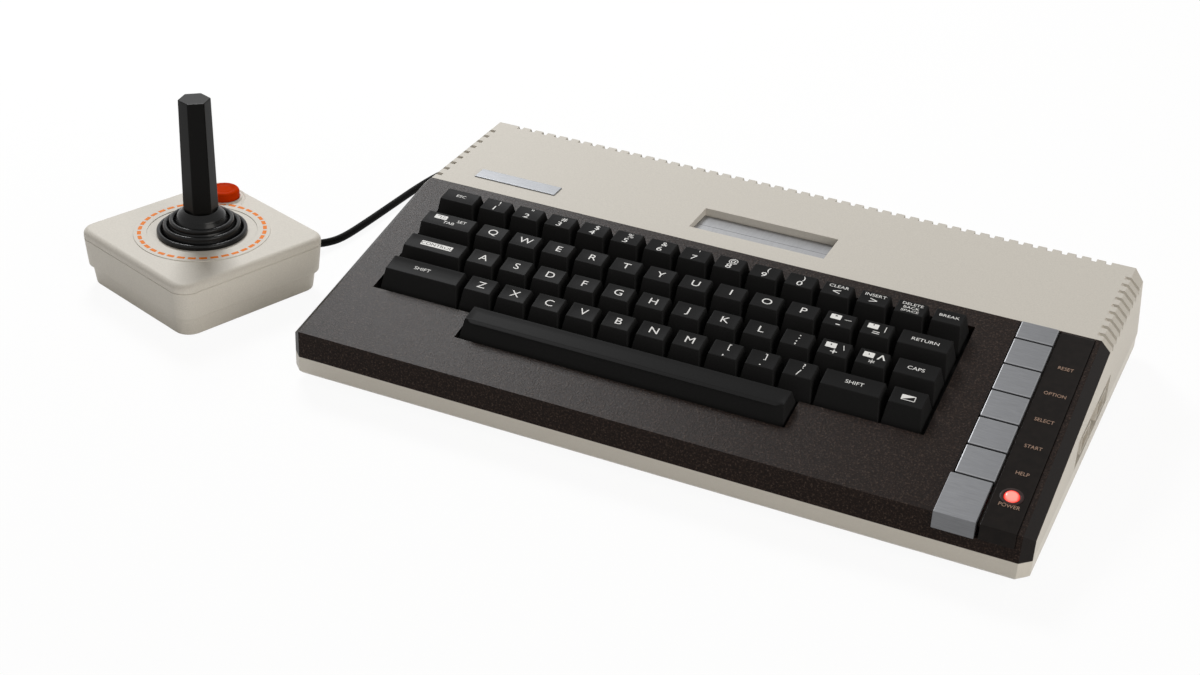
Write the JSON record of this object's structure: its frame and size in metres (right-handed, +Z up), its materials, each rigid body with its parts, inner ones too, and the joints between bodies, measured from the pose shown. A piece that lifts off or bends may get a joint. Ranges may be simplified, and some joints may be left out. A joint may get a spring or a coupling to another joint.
{
  "type": "vintage home computer",
  "caption": "Wedge-shaped 1980s home computer with full keyboard, console buttons, cartridge slot with flaps, rear sockets and a tethered square joystick.",
  "frame": {"origin": "on the desk, under the middle of the computer's case", "axes": "+X to the user's right, along the case's width; +Y away from the user; +Z up"},
  "size_m": [0.5365, 0.3203, 0.1095],
  "materials": {
    "cream_plastic": "fine grain",
    "brown_plastic": "fine grain",
    "key_plastic": "satin",
    "brushed_metal": "brushed",
    "smoked_plastic": "gloss",
    "red_lamp": "gloss",
    "black_plastic": "satin",
    "black_rubber": "satin",
    "orange_plastic": "gloss",
    "circuit_board": "satin",
    "ribbon_plastic": "satin",
    "steel": "satin",
    "white_print": "satin",
    "tan_print": "satin"
  },
  "bodies": {
    "computer": {"top_shell": "cream_plastic", "bottom_shell": "cream_plastic", "joystick_base": "cream_plastic", "joystick_lid": "cream_plastic", "keyboard_bezel": "brown_plastic", "name_plate": "brushed_metal", "console_trim_top": "brushed_metal", "console_trim_bottom": "brushed_metal", "label_window": "smoked_plastic", "power_lamp": "red_lamp", "cartridge_guide": "black_plastic", "cartridge_connector": "black_plastic", "key_switches": "black_plastic", "board_chips": "black_plastic", "port_bay": "black_plastic", "din_sockets": "black_plastic", "serial_connector": "black_plastic", "lead_plug": "black_plastic", "rubber_feet": "black_rubber", "stick_boot": "black_rubber", "lead_strain_relief": "black_rubber", "joystick_lead": "black_rubber", "lead_coil": "black_rubber", "console_board": "circuit_board", "keyboard_board": "circuit_board", "main_board": "circuit_board", "joystick_board": "circuit_board", "keyboard_ribbon": "ribbon_plastic", "case_screws": "steel", "key_plate": "steel", "rf_shield": "steel", "rf_socket": "steel", "controller_ports": "steel"},
    "esc_key": {"esc_key": "key_plastic"},
    "backspace_key": {"backspace_key": "key_plastic"},
    "break_key": {"break_key": "key_plastic"},
    "tab_key": {"tab_key": "key_plastic"},
    "return_key": {"return_key": "key_plastic"},
    "control_key": {"control_key": "key_plastic"},
    "caps_key": {"caps_key": "key_plastic"},
    "left_shift_key": {"left_shift_key": "key_plastic"},
    "right_shift_key": {"right_shift_key": "key_plastic"},
    "inverse_key": {"inverse_key": "key_plastic"},
    "space_bar": {"space_bar": "key_plastic"},
    "number_keys": {"number_keys": "key_plastic"},
    "upper_letter_keys": {"upper_letter_keys": "key_plastic"},
    "home_letter_keys": {"home_letter_keys": "key_plastic"},
    "lower_letter_keys": {"lower_letter_keys": "key_plastic"},
    "help_button": {"help_button": "brushed_metal"},
    "start_button": {"start_button": "brushed_metal"},
    "select_button": {"select_button": "brushed_metal"},
    "option_button": {"option_button": "brushed_metal"},
    "reset_button": {"reset_button": "brushed_metal"},
    "cartridge_door_front": {"cartridge_door_front": "brushed_metal"},
    "cartridge_door_rear": {"cartridge_door_rear": "brushed_metal"},
    "power_switch": {"power_switch": "black_plastic"},
    "channel_switch": {"channel_switch": "black_plastic"},
    "actuator_ring": {"actuator_ring": "black_plastic"},
    "joystick_stick": {"joystick_stick": "black_plastic"},
    "fire_button": {"fire_button": "orange_plastic"}
  },
  "joints": [
    {"name": "esc_key_press", "type": "slide", "parent": "computer", "child": "esc_key", "axis": [0, 0.2123, -0.9772], "range_m": [0, 0.004], "stiffness_N_per_m": 160, "springref_m": -0.002},
    {"name": "backspace_key_press", "type": "slide", "parent": "computer", "child": "backspace_key", "axis": [0, 0.2123, -0.9772], "range_m": [0, 0.004], "stiffness_N_per_m": 160, "springref_m": -0.002},
    {"name": "break_key_press", "type": "slide", "parent": "computer", "child": "break_key", "axis": [0, 0.2123, -0.9772], "range_m": [0, 0.004], "stiffness_N_per_m": 160, "springref_m": -0.002},
    {"name": "tab_key_press", "type": "slide", "parent": "computer", "child": "tab_key", "axis": [0, 0.2123, -0.9772], "range_m": [0, 0.004], "stiffness_N_per_m": 160, "springref_m": -0.002},
    {"name": "return_key_press", "type": "slide", "parent": "computer", "child": "return_key", "axis": [0, 0.2123, -0.9772], "range_m": [0, 0.004], "stiffness_N_per_m": 160, "springref_m": -0.002},
    {"name": "control_key_press", "type": "slide", "parent": "computer", "child": "control_key", "axis": [0, 0.2123, -0.9772], "range_m": [0, 0.004], "stiffness_N_per_m": 160, "springref_m": -0.002},
    {"name": "caps_key_press", "type": "slide", "parent": "computer", "child": "caps_key", "axis": [0, 0.2123, -0.9772], "range_m": [0, 0.004], "stiffness_N_per_m": 160, "springref_m": -0.002},
    {"name": "left_shift_key_press", "type": "slide", "parent": "computer", "child": "left_shift_key", "axis": [0, 0.2123, -0.9772], "range_m": [0, 0.004], "stiffness_N_per_m": 160, "springref_m": -0.002},
    {"name": "right_shift_key_press", "type": "slide", "parent": "computer", "child": "right_shift_key", "axis": [0, 0.2123, -0.9772], "range_m": [0, 0.004], "stiffness_N_per_m": 160, "springref_m": -0.002},
    {"name": "inverse_key_press", "type": "slide", "parent": "computer", "child": "inverse_key", "axis": [0, 0.2123, -0.9772], "range_m": [0, 0.004], "stiffness_N_per_m": 160, "springref_m": -0.002},
    {"name": "space_bar_press", "type": "slide", "parent": "computer", "child": "space_bar", "axis": [0, 0.2123, -0.9772], "range_m": [0, 0.004], "stiffness_N_per_m": 400, "springref_m": -0.002},
    {"name": "number_keys_press", "type": "slide", "parent": "computer", "child": "number_keys", "axis": [0, 0.2123, -0.9772], "range_m": [0, 0.004], "stiffness_N_per_m": 1200, "springref_m": -0.002},
    {"name": "upper_letter_keys_press", "type": "slide", "parent": "computer", "child": "upper_letter_keys", "axis": [0, 0.2123, -0.9772], "range_m": [0, 0.004], "stiffness_N_per_m": 1200, "springref_m": -0.002},
    {"name": "home_letter_keys_press", "type": "slide", "parent": "computer", "child": "home_letter_keys", "axis": [0, 0.2123, -0.9772], "range_m": [0, 0.004], "stiffness_N_per_m": 1200, "springref_m": -0.002},
    {"name": "lower_letter_keys_press", "type": "slide", "parent": "computer", "child": "lower_letter_keys", "axis": [0, 0.2123, -0.9772], "range_m": [0, 0.004], "stiffness_N_per_m": 1000, "springref_m": -0.002},
    {"name": "help_button_press", "type": "slide", "parent": "computer", "child": "help_button", "axis": [0, 0.2123, -0.9772], "range_m": [0, 0.0016], "stiffness_N_per_m": 300, "springref_m": -0.001},
    {"name": "start_button_press", "type": "slide", "parent": "computer", "child": "start_button", "axis": [0, 0.2123, -0.9772], "range_m": [0, 0.0016], "stiffness_N_per_m": 300, "springref_m": -0.001},
    {"name": "select_button_press", "type": "slide", "parent": "computer", "child": "select_button", "axis": [0, 0.2123, -0.9772], "range_m": [0, 0.0016], "stiffness_N_per_m": 300, "springref_m": -0.001},
    {"name": "option_button_press", "type": "slide", "parent": "computer", "child": "option_button", "axis": [0, 0.2123, -0.9772], "range_m": [0, 0.0016], "stiffness_N_per_m": 300, "springref_m": -0.001},
    {"name": "reset_button_press", "type": "slide", "parent": "computer", "child": "reset_button", "axis": [0, 0.2123, -0.9772], "range_m": [0, 0.0016], "stiffness_N_per_m": 300, "springref_m": -0.001},
    {"name": "cartridge_door_front_hinge", "type": "hinge", "parent": "computer", "child": "cartridge_door_front", "pos_m": [0, 0.0306, 0.05322], "axis": [1, 0, 0], "range_deg": [-85, 0], "stiffness_Nm_per_rad": 0.002, "springref_deg": 20.05},
    {"name": "cartridge_door_rear_hinge", "type": "hinge", "parent": "computer", "child": "cartridge_door_rear", "pos_m": [0, 0.0512, 0.05322], "axis": [1, 0, 0], "range_deg": [0, 85], "stiffness_Nm_per_rad": 0.002, "springref_deg": -20.05},
    {"name": "power_switch_rock", "type": "hinge", "parent": "computer", "child": "power_switch", "pos_m": [0.103, 0.095, 0.0225], "axis": [1, 0, 0], "range_deg": [0, 12]},
    {"name": "channel_switch_slide", "type": "slide", "parent": "computer", "child": "channel_switch", "axis": [1, 0, 0], "range_m": [-0.0055, 0]},
    {"name": "stick_side_tilt", "type": "hinge", "parent": "computer", "child": "actuator_ring", "pos_m": [-0.287, -0.059, 0.025], "axis": [0.9426, -0.3338, 0], "range_deg": [-10, 10], "stiffness_Nm_per_rad": 0.3, "deforming": ["stick_boot"]},
    {"name": "stick_long_tilt", "type": "hinge", "parent": "actuator_ring", "child": "joystick_stick", "pos_m": [-0.287, -0.059, 0.025], "axis": [0.3338, 0.9426, 0], "range_deg": [-10, 10], "stiffness_Nm_per_rad": 0.3, "deforming": ["stick_boot"]},
    {"name": "fire_button_press", "type": "slide", "parent": "computer", "child": "fire_button", "axis": [0, 0, -1], "range_m": [0, 0.002], "stiffness_N_per_m": 400, "springref_m": -0.001}
  ]
}
